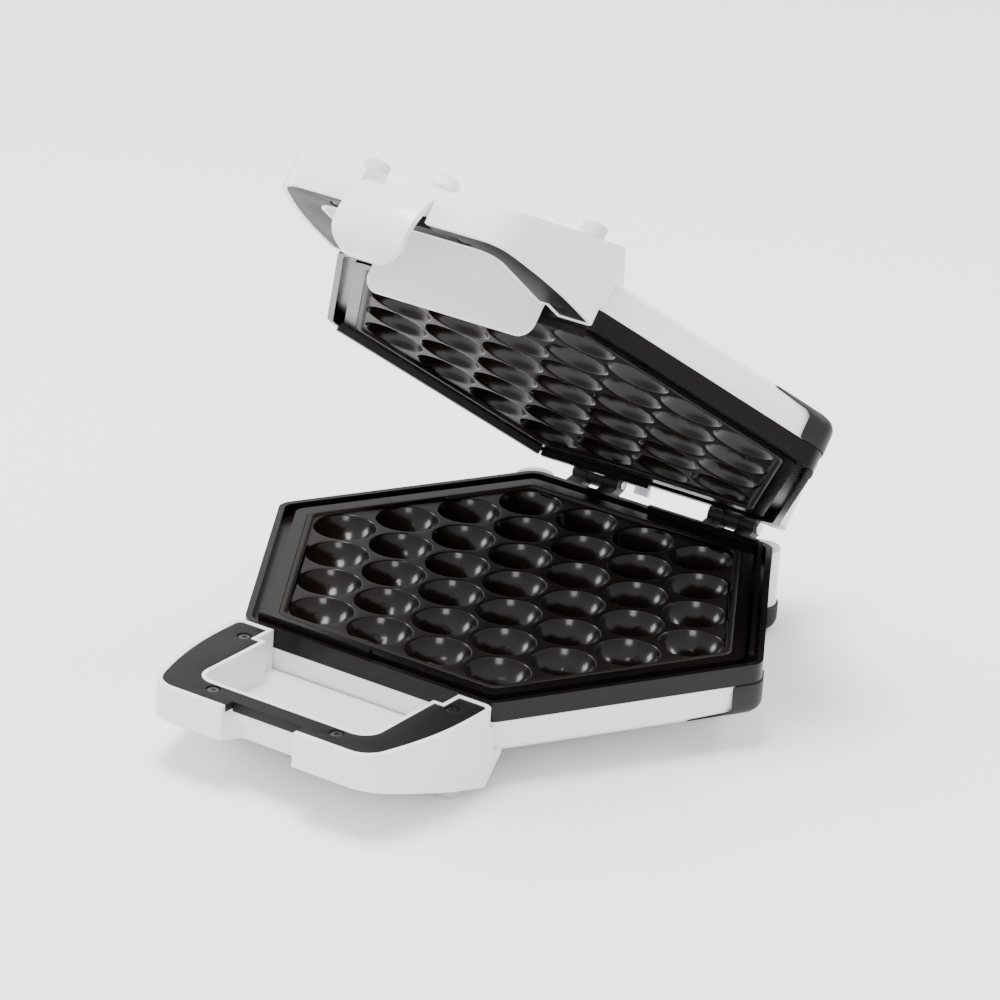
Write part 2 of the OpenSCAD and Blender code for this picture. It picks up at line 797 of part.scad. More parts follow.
module clip_body() {
  difference() {
    union() {
      intersection() {
        along_x(-clip_w, clip_w) intersection() {
          translate([clip_centre_y, clip_centre_z]) difference() {
            circle(r = clip_outer_r);
            circle(r = clip_outer_r - clip_wall);
          }
          translate([handle_front_y - clip_bulge - 1, -clip_drop])
            square([clip_bulge + 12, clip_drop + clip_top_z]);
        }
        translate([0, handle_front_y + clip_bulge + 12, 0]) rotate([90, 0, 0])
          linear_extrude(2 * clip_bulge + 30) clip_front_outline();
      }
      along_x(-clip_w / 2, clip_w / 2) translate([clip_pivot_y, clip_pivot_z]) circle(r = clip_boss_r);
      along_x(-clip_w / 2 + 6, clip_w / 2 - 6) polygon([
        [handle_front_y - clip_bulge + clip_wall / 2, clip_hook_z],
        [clip_hook_tip_y, clip_hook_z],
        [clip_hook_tip_y, clip_hook_z - 0.8],
        [handle_front_y, clip_hook_z - clip_hook_h - 1.6],
        [handle_front_y - clip_bulge + clip_wall / 2, clip_hook_z - clip_hook_h]]);
    }
    translate([-clip_w, clip_pivot_y, clip_pivot_z]) rotate([0, 90, 0])
      cylinder(r = clip_pin_r + run_clear, h = 2 * clip_w);
  }
}

// the clip seen from the front: square at the top, round at its lower corners
module clip_front_outline() {
  corner = [for (a = [0:clip_corner_step:90])
    [clip_w / 2 - clip_corner_r * (1 - cos(a)), -clip_drop + clip_corner_r * (1 - sin(a))]];
  right = concat([[clip_w / 2, clip_top_z]], corner);
  polygon(concat(right, [for (i = [len(right) - 1:-1:0]) [-right[i].x, right[i].y]]));
}

module clip_pin_body() {
  translate([-notch_w / 2 - handle_wall + 0.3, clip_pivot_y, clip_pivot_z]) rotate([0, 90, 0])
    cylinder(r = clip_pin_r, h = notch_w + 2 * handle_wall - 0.6);
}

// ---------- nodes of the base ----------

module base_shell() {
  color("whitesmoke") upright() difference() {
    shell();
    translate([0, bezel_apothem + 3, gland_z]) rotate([90, 0, 0]) cylinder(r = gland_r + gap / 2, h = 8);
  }
}

module base_bezel() { color([0.09, 0.08, 0.08]) upright() bezel_with_dams(); }
module base_grip_plate() { color([0.1, 0.1, 0.1]) upright() grip_plate(); }
module base_grip_screws() { color([0.2, 0.2, 0.2]) upright() grip_screws_set(); }
module base_plate() { color([0.13, 0.11, 0.1]) upright() plate(); }
module base_heater() { color("dimgray") upright() heater(); }
module base_heater_clips() { color("silver") upright() heater_clips(); }
module base_reflector() { color("lightgray") upright() reflector(); }
module base_thermostat() { color("saddlebrown") upright() thermostat(); }

module base_thermal_fuse() {
  color("gold") upright() translate([0, row_step * 1.5, thermostat_z - fuse_r]) rotate([0, 90, 0])
    cylinder(r = fuse_r, h = fuse_l);
}

module base_terminal_block() {
  color("ivory") upright() difference() {
    translate([terminal_x, terminal_y, shell_floor_z + 0.1]) cube([terminal_w, terminal_d, terminal_d]);
    translate([terminal_x + terminal_w / 2, terminal_y + terminal_d / 2, shell_floor_z + 3])
      for (i = [-1:1]) translate([i * terminal_pitch, 0, 0]) cylinder(r = terminal_screw_r, h = terminal_d);
  }
}

module base_wiring() {
  e = heater_end;
  up_y = e.y + wire_up;
  side_y = terminal_y + 2.5;
  color("firebrick") upright() {
    wire([[e.x, terminal_y - 0.3, wire_z], [e.x, up_y, wire_z], [e.x, up_y, heater_z]]);
    wire([[-19.6, side_y, wire_z], [-e.x, side_y, wire_z], [-e.x, up_y, wire_z], [-e.x, up_y, heater_z]]);
    wire([[-33, terminal_y - 1.5, wire_z], [-4, terminal_y - 29.5, wire_z], [-4, thermostat_r + 1.3, wire_z]]);
  }
}

module plate_screws_set() {
  every_side() translate([0, plate_screw_apothem, plate_bottom_z - plate_boss_h - 0.1]) rotate([180, 0, 0])
    translate([0, 0, 1.5]) screw(1, plate_screw_head_r, 1.4, 4);
}

module base_plate_screws() { color("silver") upright() plate_screws_set(); }

module shell_screws_set() {
  length = shell_depth - gap + shell_screw_top_z;
  every_side() translate([shell_boss_apothem / cos(30), 0, -shell_depth + 0.2]) rotate([180, 0, 0])
    screw(shell_screw_r - run_clear, shell_head_r - gap, 0.9, length);
}

module base_shell_screws() { color("silver") upright() shell_screws_set(); }

module cord_gland() {
  color([0.15, 0.15, 0.15]) upright() translate([0, bezel_apothem - 3.4, gland_z]) rotate([-90, 0, 0])
    difference() {
      union() {
        cylinder(r = gland_r, h = 4 + gland_tail);
        translate([0, 0, 3.8]) cylinder(r = gland_flange_r, h = gland_flange_h);
      }
      translate([0, 0, -1]) cylinder(r = gland_bore_r, h = gland_tail + 6);
    }
}

module base_front_feet() { color("white") upright() front_feet(); }
module base_rear_feet() { color([0.08, 0.08, 0.08]) upright() rear_feet(); }
module base_corner_bumpers() { color([0.2, 0.2, 0.2]) upright() corner_bumpers(); }
module base_hinge_brackets() { color([0.1, 0.1, 0.1]) upright() hinge_brackets(); }
module hinge_pins() { color("silver") upright() hinge_pin_set(); }

// ---------- nodes of the lid ----------

module lid_shell() {
  color("white") difference() {
    turned_over() shell();
    on_lid() clip_pin_hole();
    on_lid() translate([lens_x, lens_y, 10]) cylinder(r = lens_r - 1, h = 30);
  }
}

module clip_pin_hole() {
  translate([-notch_w / 2 - handle_wall, clip_pivot_y, clip_pivot_z]) rotate([0, 90, 0])
    cylinder(r = clip_pin_r, h = notch_w + 2 * handle_wall);
}

module lid_bezel() { color([0.09, 0.08, 0.08]) turned_over() bezel_with_dams(); }
module lid_grip_plate() { color([0.1, 0.1, 0.1]) turned_over() grip_plate(); }
module lid_grip_screws() { color([0.2, 0.2, 0.2]) turned_over() grip_screws_set(); }
module lid_plate() { color([0.13, 0.11, 0.1]) turned_over() plate(); }
module lid_heater() { color("dimgray") turned_over() heater(); }
module lid_heater_clips() { color("silver") turned_over() heater_clips(); }
module lid_reflector() { color("lightgray") turned_over() reflector(); }
module lid_thermostat() { color("saddlebrown") turned_over() thermostat(); }

module lid_wiring() {
  e = heater_end;
  up_y = e.y + wire_up;
  color("firebrick") turned_over() both_sides()
    wire([[-19, bezel_apothem - 6, wire_z], [e.x, e.y + 4, wire_z],
      [e.x, up_y, wire_z], [e.x, up_y, heater_z]]);
}

module lid_plate_screws() { color("silver") turned_over() plate_screws_set(); }
module lid_shell_screws() { color("silver") turned_over() shell_screws_set(); }
module lid_front_feet() { color("white") turned_over() front_feet(); }
module lid_rear_feet() { color([0.08, 0.08, 0.08]) turned_over() rear_feet(); }
module lid_corner_bumpers() { color([0.2, 0.2, 0.2]) turned_over() corner_bumpers(); }
module lid_hinge_leaves() { color([0.1, 0.1, 0.1]) on_lid() hinge_leaves(); }
module wire_sleeves() { color("lightgray") on_lid() sleeves(); }

module heat_guard() {
  top = well_depth - 0.2;
  color("white") on_lid() translate([0, guard_y + guard_t / 2, 0]) rotate([90, 0, 0])
    linear_extrude(guard_t) union() {
      translate([-guard_x, -guard_drop + guard_corner_r])
        square([2 * guard_x, top + guard_drop - guard_corner_r]);
      offset(r = guard_corner_r) translate([-guard_x + guard_corner_r, -guard_drop + guard_corner_r])
        square([2 * (guard_x - guard_corner_r), guard_corner_r]);
    }
}

module indicator_lens() {
  color("white") on_lid() translate([lens_x, lens_y, 0]) {
    intersection() {
      translate([0, 0, stand_h - 6]) sphere(r = lens_dome_r);
      cylinder(r = lens_r, h = stand_h + 4);
      translate([0, 0, lens_seat_z]) cylinder(r = lens_r + 1, h = 10);
    }
    translate([0, 0, lens_seat_z - 3]) cylinder(r = lens_r - 1 - gap, h = 4);
  }
}

module indicator_lamp() {
  color("orange") on_lid() translate([lens_x, lens_y, lens_seat_z - 11]) cylinder(r = 2.5, h = 7);
}

module clip_pin() { color("silver") on_lid() clip_pin_body(); }
module clip() { color([0.94, 0.94, 0.97]) on_clip() clip_body(); }

base_shell();
base_bezel();
base_grip_plate();
base_grip_screws();
base_plate();
base_heater();
base_heater_clips();
base_reflector();
base_thermostat();
base_thermal_fuse();
base_terminal_block();
base_wiring();
base_plate_screws();
base_shell_screws();
cord_gland();
base_front_feet();
base_rear_feet();
base_corner_bumpers();
base_hinge_brackets();
hinge_pins();
lid_shell();
lid_bezel();
lid_grip_plate();
lid_grip_screws();
lid_plate();
lid_heater();
lid_heater_clips();
lid_reflector();
lid_thermostat();
lid_wiring();
lid_plate_screws();
lid_shell_screws();
lid_front_feet();
lid_rear_feet();
lid_corner_bumpers();
lid_hinge_leaves();
wire_sleeves();
heat_guard();
indicator_lens();
indicator_lamp();
clip_pin();
clip();
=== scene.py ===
# %% [markdown]
# # A turn-over bubble waffle maker
#
# This lesson dresses an exact mechanical model in Blender. The model arrives as the "frame": every
# part is already in its place, in metres, with the lid standing open. We make the finishes first,
# then the pieces whose shape shows most, and last the stage with its lights and camera.

import json
import math

import bmesh
import bpy
from mathutils import Matrix, Vector


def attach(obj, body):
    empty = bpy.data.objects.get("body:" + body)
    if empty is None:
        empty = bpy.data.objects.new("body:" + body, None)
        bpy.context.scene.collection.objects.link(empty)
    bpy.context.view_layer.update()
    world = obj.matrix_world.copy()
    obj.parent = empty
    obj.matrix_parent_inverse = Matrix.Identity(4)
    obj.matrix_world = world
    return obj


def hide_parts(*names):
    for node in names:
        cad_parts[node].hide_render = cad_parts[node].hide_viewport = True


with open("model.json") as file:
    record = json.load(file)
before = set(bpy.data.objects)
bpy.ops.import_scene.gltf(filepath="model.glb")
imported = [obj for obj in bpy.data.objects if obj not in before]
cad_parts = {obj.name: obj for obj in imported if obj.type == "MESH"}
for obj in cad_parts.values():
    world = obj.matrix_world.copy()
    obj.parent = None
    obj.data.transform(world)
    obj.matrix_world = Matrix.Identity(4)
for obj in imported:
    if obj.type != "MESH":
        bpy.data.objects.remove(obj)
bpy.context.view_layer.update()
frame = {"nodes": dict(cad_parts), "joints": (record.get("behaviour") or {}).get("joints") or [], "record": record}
nodes = frame["nodes"]

# %% [markdown]
# ## Where things are
#
# Both halves of the appliance are the same moulding. The base lies on its feet with the seam 37 mm
# above the table. The lid is the base turned over about the front-to-back line and then swung up
# about the hinge. One matrix for each half lets us build a piece once, flat, and put it in both.

# %% Places of the two halves
MM = 0.001
LID_ANGLE = math.radians(40.3)
HINGE_Y = 116 * MM
SEAM_Z = 37 * MM
hinge = next(j for j in frame["joints"] if j["name"] == "lid_hinge")
SHIFT_Y = hinge["pos_m"][1] - HINGE_Y
BASE_PLACE = Matrix.Translation((0, SHIFT_Y, SEAM_Z))
LID_PLACE = (
    BASE_PLACE
    @ Matrix.Translation((0, HINGE_Y, 0))
    @ Matrix.Rotation(-LID_ANGLE, 4, "X")
    @ Matrix.Translation((0, -HINGE_Y, 0))
)
TURNED_PLACE = LID_PLACE @ Matrix.Rotation(math.pi, 4, "Y")
print("hinge line at", [round(v, 4) for v in hinge["pos_m"]])

# %% [markdown]
# ## Shader groups
#
# Moulded plastic is never perfectly even. A slow noise makes it a little more or less shiny, and a
# fine noise gives the tool's texture. Several materials want the same effect at their own strength,
# so it becomes a node group. The group only puts out masks and heights; each material keeps its own
# shader, so that an exporter can read it.


# %% A helper that starts a shader group
def new_group(name, inputs, outputs):
    tree = bpy.data.node_groups.new(name, "ShaderNodeTree")
    for label, default in inputs:
        socket = tree.interface.new_socket(label, in_out="INPUT", socket_type="NodeSocketFloat")
        socket.default_value = default
    for label, kind in outputs:
        tree.interface.new_socket(label, in_out="OUTPUT", socket_type=kind)
    return tree, tree.nodes.new("NodeGroupInput"), tree.nodes.new("NodeGroupOutput")


def math_node(tree, operation, a, b=None, c=None):
    node = tree.nodes.new("ShaderNodeMath")
    node.operation = operation
    for socket, value in zip(node.inputs, (a, b, c)):
        if value is None:
            continue
        if isinstance(value, (int, float)):
            socket.default_value = value
        else:
            tree.links.new(value, socket)
    return node.outputs[0]


def noise_node(tree, vector, scale, detail=2.0, roughness=0.5):
    node = tree.nodes.new("ShaderNodeTexNoise")
    tree.links.new(vector, node.inputs["Vector"])
    node.inputs["Detail"].default_value = detail
    node.inputs["Roughness"].default_value = roughness
    if isinstance(scale, (int, float)):
        node.inputs["Scale"].default_value = scale
    else:
        tree.links.new(scale, node.inputs["Scale"])
    return node.outputs["Fac"]


print("helpers for shader groups are ready")

# %% [markdown]
# The first group is the moulded skin: a slow unevenness for the gloss, a fine grain for the bump,
# and a sparse dust mask of tiny specks that catch the light on dark plastic.

# %% Moulded skin
SPECK_RADIUS = 0.16
DUSTY_PATCH_SCALE = 140.0
DUSTY_PATCH_LEVEL = 0.58
skin, skin_in, skin_out = new_group(
    "moulded_skin",
    [
        ("Rough Low", 0.3), ("Rough High", 0.4), ("Cloud Scale", 18.0),
        ("Grain Scale", 2500.0), ("Speck Scale", 900.0),
    ],
    [
        ("Roughness", "NodeSocketFloat"), ("Grain", "NodeSocketFloat"),
        ("Specks", "NodeSocketFloat"), ("Clouds", "NodeSocketFloat"),
    ],
)
coords = skin.nodes.new("ShaderNodeTexCoord").outputs["Object"]
clouds = noise_node(skin, coords, skin_in.outputs["Cloud Scale"], 4.0, 0.6)
grain = noise_node(skin, coords, skin_in.outputs["Grain Scale"], 3.0, 0.55)
cells = skin.nodes.new("ShaderNodeTexVoronoi")
skin.links.new(coords, cells.inputs["Vector"])
skin.links.new(skin_in.outputs["Speck Scale"], cells.inputs["Scale"])
specks = math_node(skin, "LESS_THAN", cells.outputs["Distance"], SPECK_RADIUS)
patches = noise_node(skin, coords, DUSTY_PATCH_SCALE)
gate = math_node(skin, "GREATER_THAN", patches, DUSTY_PATCH_LEVEL)
span = math_node(skin, "SUBTRACT", skin_in.outputs["Rough High"], skin_in.outputs["Rough Low"])
rough = math_node(skin, "MULTIPLY_ADD", clouds, span, skin_in.outputs["Rough Low"])
skin.links.new(rough, skin_out.inputs["Roughness"])
skin.links.new(grain, skin_out.inputs["Grain"])
skin.links.new(math_node(skin, "MULTIPLY", specks, gate), skin_out.inputs["Specks"])
skin.links.new(clouds, skin_out.inputs["Clouds"])
print("group", skin.name, "with", len(skin.nodes), "nodes")

# %% [markdown]
# The second group is handling wear. Its mask is a noise stretched along the piece, which reads as
# faint wiping marks: a material adds it to the roughness, so the wiped places are duller.

# %% Wiping marks
WIPED_FULLY = 0.85
wipe, wipe_in, wipe_out = new_group(
    "wiping_marks",
    [("Scale", 30.0), ("Stretch", 0.12), ("Threshold", 0.55)],
    [("Marks", "NodeSocketFloat")],
)
wipe_coords = wipe.nodes.new("ShaderNodeTexCoord").outputs["Object"]
wipe_map = wipe.nodes.new("ShaderNodeMapping")
wipe.links.new(wipe_coords, wipe_map.inputs["Vector"])
stretch = wipe.nodes.new("ShaderNodeCombineXYZ")
wipe.links.new(wipe_in.outputs["Stretch"], stretch.inputs["X"])
stretch.inputs["Y"].default_value = 1.0
stretch.inputs["Z"].default_value = 1.0
wipe.links.new(stretch.outputs[0], wipe_map.inputs["Scale"])
wipe_noise = noise_node(wipe, wipe_map.outputs["Vector"], wipe_in.outputs["Scale"], 6.0, 0.7)
wipe_edge = wipe.nodes.new("ShaderNodeMapRange")
wipe.links.new(wipe_noise, wipe_edge.inputs["Value"])
wipe.links.new(wipe_in.outputs["Threshold"], wipe_edge.inputs["From Min"])
wipe_edge.inputs["From Max"].default_value = WIPED_FULLY
wipe.links.new(wipe_edge.outputs["Result"], wipe_out.inputs["Marks"])
print("group", wipe.name, "with", len(wipe.nodes), "nodes")

# %% [markdown]
# ## The finishes
#
# One helper makes a Principled material from two close colours mixed by the clouds, a roughness
# range, and a bump depth for the grain. The constants that are the same all over a surface, such as
# the coat or the metallic value, go straight onto the shader's own sockets.


# %% A helper for moulded and metal finishes
DUST_COLOUR = (0.45, 0.40, 0.36, 1)


def finish(name, colour, second, low, high, grain_mm=0.0, metallic=0.0, coat=0.0, coat_rough=0.08,
           specular=0.5, speck=0.0, grain_scale=2500.0, marks=0.0, sheen=0.0):
    mat = bpy.data.materials.new(name)
    mat.use_nodes = True
    tree = mat.node_tree
    shader = tree.nodes["Principled BSDF"]
    group = tree.nodes.new("ShaderNodeGroup")
    group.node_tree = skin
    group.inputs["Rough Low"].default_value = low
    group.inputs["Rough High"].default_value = high
    group.inputs["Grain Scale"].default_value = grain_scale
    mix = tree.nodes.new("ShaderNodeMix")
    mix.data_type = "RGBA"
    mix.inputs["A"].default_value = (*colour, 1)
    mix.inputs["B"].default_value = (*second, 1)
    tree.links.new(group.outputs["Clouds"], mix.inputs["Factor"])
    base = mix.outputs["Result"]
    if speck > 0:
        dust = tree.nodes.new("ShaderNodeMix")
        dust.data_type = "RGBA"
        amount = math_node(tree, "MULTIPLY", group.outputs["Specks"], speck)
        tree.links.new(amount, dust.inputs["Factor"])
        tree.links.new(base, dust.inputs["A"])
        dust.inputs["B"].default_value = DUST_COLOUR
        base = dust.outputs["Result"]
    tree.links.new(base, shader.inputs["Base Color"])
    rough_value = group.outputs["Roughness"]
    if marks > 0:
        rub = tree.nodes.new("ShaderNodeGroup")
        rub.node_tree = wipe
        rough_value = math_node(tree, "MULTIPLY_ADD", rub.outputs["Marks"], marks, rough_value)
    tree.links.new(rough_value, shader.inputs["Roughness"])
    shader.inputs["Metallic"].default_value = metallic
    shader.inputs["Coat Weight"].default_value = coat
    shader.inputs["Coat Roughness"].default_value = coat_rough
    shader.inputs["Specular IOR Level"].default_value = specular
    shader.inputs["Sheen Weight"].default_value = sheen
    if grain_mm > 0:
        bump = tree.nodes.new("ShaderNodeBump")
        bump.inputs["Distance"].default_value = grain_mm * MM
        tree.links.new(group.outputs["Grain"], bump.inputs["Height"])
        tree.links.new(bump.outputs["Normal"], shader.inputs["Normal"])
    return mat


print("the finish helper is ready")

# %% [markdown]
# The shells are satin white plastic, the clip is the same plastic polished. The rims and the plates
# are dark and glossy; the plates' brown tint is a painted reflection of a waffle on the near-black
# coating. The handle plates are a satin black with a fine spark-eroded texture. Metal parts are only
# seen at the hinge and underneath.

# %% All finishes
white_shell = finish(
    "white_shell", (0.83, 0.83, 0.845), (0.79, 0.79, 0.81), 0.32, 0.42,
    grain_mm=0.012, marks=0.06,
)
white_clip = finish(
    "white_clip", (0.80, 0.80, 0.86), (0.76, 0.76, 0.83), 0.2, 0.3,
    grain_mm=0.004, coat=0.3, coat_rough=0.12,
)
black_rim = finish(
    "black_rim", (0.0030, 0.0024, 0.0022), (0.0052, 0.0040, 0.0036), 0.2, 0.3,
    grain_mm=0.004, specular=0.22, speck=0.05, marks=0.08,
)
# the brown tint in these two colours is a painted reflection of a waffle; the coating itself is near black
black_coating_painted_reflection = finish(
    "black_coating_painted_reflection", (0.0036, 0.0020, 0.0014), (0.0075, 0.0040, 0.0026), 0.16, 0.24,
    grain_mm=0.008, specular=0.3, speck=0.04, grain_scale=1100.0, marks=0.08,
)
black_satin = finish(
    "black_satin", (0.0042, 0.0041, 0.0041), (0.0070, 0.0068, 0.0068), 0.42, 0.5,
    grain_mm=0.02, specular=0.22, speck=0.06, grain_scale=1800.0,
)
grey_satin = finish(
    "grey_satin", (0.0065, 0.0062, 0.0062), (0.0100, 0.0096, 0.0096), 0.38, 0.48,
    grain_mm=0.015, specular=0.3, speck=0.05, marks=0.05,
)
black_rubber = finish(
    "black_rubber", (0.006, 0.006, 0.006), (0.010, 0.010, 0.010), 0.55, 0.7,
    grain_mm=0.03, specular=0.3,
)
grey_rubber = finish(
    "grey_rubber", (0.62, 0.62, 0.63), (0.55, 0.55, 0.56), 0.55, 0.7,
    grain_mm=0.03, sheen=0.1,
)
grey_plastic = finish(
    "grey_plastic", (0.55, 0.57, 0.62), (0.50, 0.52, 0.57), 0.3, 0.4,
    grain_mm=0.01,
)
dark_screw = finish(
    "dark_screw", (0.10, 0.10, 0.10), (0.15, 0.15, 0.15), 0.28, 0.42,
    grain_mm=0.01, metallic=1.0, marks=0.1,
)
zinc_steel = finish(
    "zinc_steel", (0.62, 0.62, 0.60), (0.52, 0.53, 0.52), 0.28, 0.42,
    grain_mm=0.01, metallic=1.0, marks=0.12,
)
heater_steel = finish(
    "heater_steel", (0.22, 0.22, 0.23), (0.15, 0.14, 0.14), 0.42, 0.6,
    grain_mm=0.03, metallic=1.0,
)
bright_sheet = finish(
    "bright_sheet", (0.80, 0.80, 0.81), (0.74, 0.74, 0.75), 0.2, 0.35,
    grain_mm=0.01, metallic=1.0, marks=0.15,
)
brown_resin = finish(
    "brown_resin", (0.12, 0.05, 0.03), (0.09, 0.04, 0.025), 0.45, 0.6,
    grain_mm=0.02,
)
cream_plastic = finish(
    "cream_plastic", (0.72, 0.66, 0.54), (0.66, 0.60, 0.49), 0.4, 0.5,
    grain_mm=0.02,
)
fuse_brass = finish(
    "fuse_brass", (0.72, 0.53, 0.25), (0.62, 0.45, 0.2), 0.25, 0.4,
    grain_mm=0.01, metallic=1.0,
)
red_wire = finish("red_wire", (0.42, 0.03, 0.02), (0.34, 0.025, 0.02), 0.45, 0.6, grain_mm=0.01)
lamp_amber = finish("lamp_amber", (0.75, 0.22, 0.05), (0.65, 0.18, 0.04), 0.15, 0.25, coat=0.4)
lens_white = finish(
    "lens_white", (0.86, 0.84, 0.80), (0.80, 0.79, 0.76), 0.08, 0.16,
    coat=0.6, coat_rough=0.04,
)
print(len(bpy.data.materials), "materials")

# %% [markdown]
# The web between the bubbles keeps the dull texture of the casting, and the bubbles are polished so
# that the waffle lets go. The plate's mesh will carry a "polish" value at each point, 0 on the web
# and 1 in a bubble, and the coating's roughness falls as it rises.

# %% Polish in the bubbles
WEB_DULLNESS = 0.3
coat_tree = black_coating_painted_reflection.node_tree
coat_shader = coat_tree.nodes["Principled BSDF"]
polish = coat_tree.nodes.new("ShaderNodeAttribute")
polish.attribute_name = "polish"
unpolished = math_node(coat_tree, "SUBTRACT", 1.0, polish.outputs["Fac"])
rough_before = coat_shader.inputs["Roughness"].links[0].from_socket
dulled = math_node(coat_tree, "MULTIPLY_ADD", unpolished, WEB_DULLNESS, rough_before)
coat_tree.links.new(dulled, coat_shader.inputs["Roughness"])
print("the coating reads the polish value")

# %% [markdown]
# ## Dress the carried-over parts
#
# Parts that hardly show, such as the heater and the wires inside, keep the exact model's mesh and
# only get their finish. A table from part to finish keeps this in one place.

# %% Finish for each part
FINISHES = {
    "shell": white_shell, "bezel": black_rim, "grip_plate": black_satin, "grip_screws": dark_screw,
    "plate": black_coating_painted_reflection, "heater": heater_steel, "heater_clips": bright_sheet,
    "reflector": bright_sheet,
    "thermostat": brown_resin, "thermal_fuse": fuse_brass, "terminal_block": cream_plastic,
    "wiring": red_wire, "plate_screws": zinc_steel, "shell_screws": zinc_steel,
    "front_feet": grey_rubber,
    "rear_feet": black_rubber, "corner_bumpers": grey_satin, "hinge_brackets": grey_satin,
    "hinge_leaves": grey_satin, "cord_gland": black_rubber, "hinge_pins": zinc_steel,
    "wire_sleeves": grey_plastic, "heat_guard": white_shell, "indicator_lens": lens_white,
    "indicator_lamp": lamp_amber, "clip_pin": zinc_steel, "clip": white_clip,
}
for name, obj in nodes.items():
    short = name.split("_", 1)[1] if name.startswith(("base_", "lid_")) else name
    obj.data.materials.clear()
    obj.data.materials.append(FINISHES[short])
print("dressed", len(nodes), "parts")

# %% [markdown]
# ## The bubble plates
#
# A bubble plate follows one rule: the same round bubble on a grid of equilateral triangles, kept
# inside a hexagon. Geometry Nodes suit such a rule. First we build one cell: a hexagonal
# tile whose middle sinks into a bubble, with a small fillet where the bubble meets the web. Its
# border has the same points on all six sides, so neighbouring tiles weld together.

# %% One cell with its bubble
PITCH = 29 * MM
BUBBLE_R = 13.4 * MM
BUBBLE_DEPTH = 10 * MM
WEB_Z = -1.5 * MM
FILLET = 0.8 * MM
SIDES = 36
FILLET_STEPS = 4
BOWL_STEPS = 11
BUBBLES_A_SIDE = 4
WELD = 0.05 * MM
sphere_r = (BUBBLE_R**2 + BUBBLE_DEPTH**2) / (2 * BUBBLE_DEPTH)
sphere_z = WEB_Z - BUBBLE_DEPTH + sphere_r
fillet_z = WEB_Z - FILLET
fillet_r = math.sqrt((sphere_r + FILLET) ** 2 - (sphere_z - fillet_z) ** 2)
touch = math.atan2(sphere_z - fillet_z, fillet_r)
profile = [(fillet_r, WEB_Z)]
for step in range(1, FILLET_STEPS + 1):
    turn_by = (math.pi / 2 - touch) * step / FILLET_STEPS
    profile.append((fillet_r - FILLET * math.sin(turn_by), fillet_z + FILLET * math.cos(turn_by)))
low_angle = math.acos((sphere_z - profile[-1][1]) / sphere_r)
for step in range(1, BOWL_STEPS):
    a = low_angle * (1 - step / BOWL_STEPS)
    profile.append((sphere_r * math.sin(a), sphere_z - sphere_r * math.cos(a)))
cell_bm = bmesh.new()


def hexagon_reach(angle):
    nearest = round(angle / (math.pi / 3)) * math.pi / 3
    return PITCH / 2 / math.cos(angle - nearest)


angles = [2 * math.pi * i / SIDES for i in range(SIDES)]
border = [(hexagon_reach(t) * math.cos(t), hexagon_reach(t) * math.sin(t), WEB_Z) for t in angles]
rings = [[cell_bm.verts.new(corner) for corner in border]]
for r, z in profile:
    rings.append([cell_bm.verts.new((r * math.cos(t), r * math.sin(t), z)) for t in angles])
for outer, inner in zip(rings, rings[1:]):
    for i in range(SIDES):
        j = (i + 1) % SIDES
        cell_bm.faces.new((outer[i], outer[j], inner[j], inner[i]))
pole = cell_bm.verts.new((0, 0, WEB_Z - BUBBLE_DEPTH))
for i in range(SIDES):
    cell_bm.faces.new((rings[-1][i], rings[-1][(i + 1) % SIDES], pole))
bmesh.ops.recalc_face_normals(cell_bm, faces=cell_bm.faces)
if cell_bm.faces[0].normal.z < 0:
    bmesh.ops.reverse_faces(cell_bm, faces=cell_bm.faces)
cell_mesh = bpy.data.meshes.new("bubble_cell")
cell_bm.to_mesh(cell_mesh)
cell_bm.free()
cell = bpy.data.objects.new("bubble_cell", cell_mesh)
print("one cell has", len(cell_mesh.polygons), "faces")

# %% [markdown]
# The tree counts along two directions of the grid, throws away the points outside the hexagon,
# moves the rest to their true places and puts a cell on each. Realize Instances and Merge by
# Distance turn the 37 cells into one skin.

# %% The bubble grid as a node tree
grid_tree = bpy.data.node_groups.new("bubble_grid", "GeometryNodeTree")
for label, kind, default in (
    ("Pitch", "NodeSocketFloat", PITCH),
    ("Bubbles a Side", "NodeSocketInt", BUBBLES_A_SIDE),
    ("Weld", "NodeSocketFloat", WELD),
):
    socket = grid_tree.interface.new_socket(label, in_out="INPUT", socket_type=kind)
    socket.default_value = default
grid_tree.interface.new_socket("Cell", in_out="INPUT", socket_type="NodeSocketObject")
grid_tree.interface.new_socket("Coating", in_out="INPUT", socket_type="NodeSocketMaterial")
grid_tree.interface.new_socket("Geometry", in_out="OUTPUT", socket_type="NodeSocketGeometry")


def grid_math(operation, a, b=None):
    node = grid_tree.nodes.new("ShaderNodeMath")
    node.operation = operation
    for socket, value in zip(node.inputs, (a, b)):
        if isinstance(value, (int, float)):
            socket.default_value = value
        elif value is not None:
            grid_tree.links.new(value, socket)
    return node.outputs[0]


grid_in = grid_tree.nodes.new("NodeGroupInput")
grid_out = grid_tree.nodes.new("NodeGroupOutput")
points = grid_tree.nodes.new("GeometryNodeMeshGrid")
reach = grid_math("SUBTRACT", grid_in.outputs["Bubbles a Side"], 1)
across = grid_math("MULTIPLY", reach, 2)
for side in ("Size X", "Size Y"):
    grid_tree.links.new(across, points.inputs[side])
for side in ("Vertices X", "Vertices Y"):
    grid_tree.links.new(grid_math("ADD", across, 1), points.inputs[side])
spot = grid_tree.nodes.new("ShaderNodeSeparateXYZ")
grid_tree.links.new(grid_tree.nodes.new("GeometryNodeInputPosition").outputs[0], spot.inputs[0])
total = grid_math("ABSOLUTE", grid_math("ADD", spot.outputs["X"], spot.outputs["Y"]))
outside = grid_math("GREATER_THAN", total, grid_math("ADD", reach, 0.5))
cut = grid_tree.nodes.new("GeometryNodeDeleteGeometry")
cut.domain = "POINT"
grid_tree.links.new(points.outputs["Mesh"], cut.inputs["Geometry"])
grid_tree.links.new(outside, cut.inputs["Selection"])
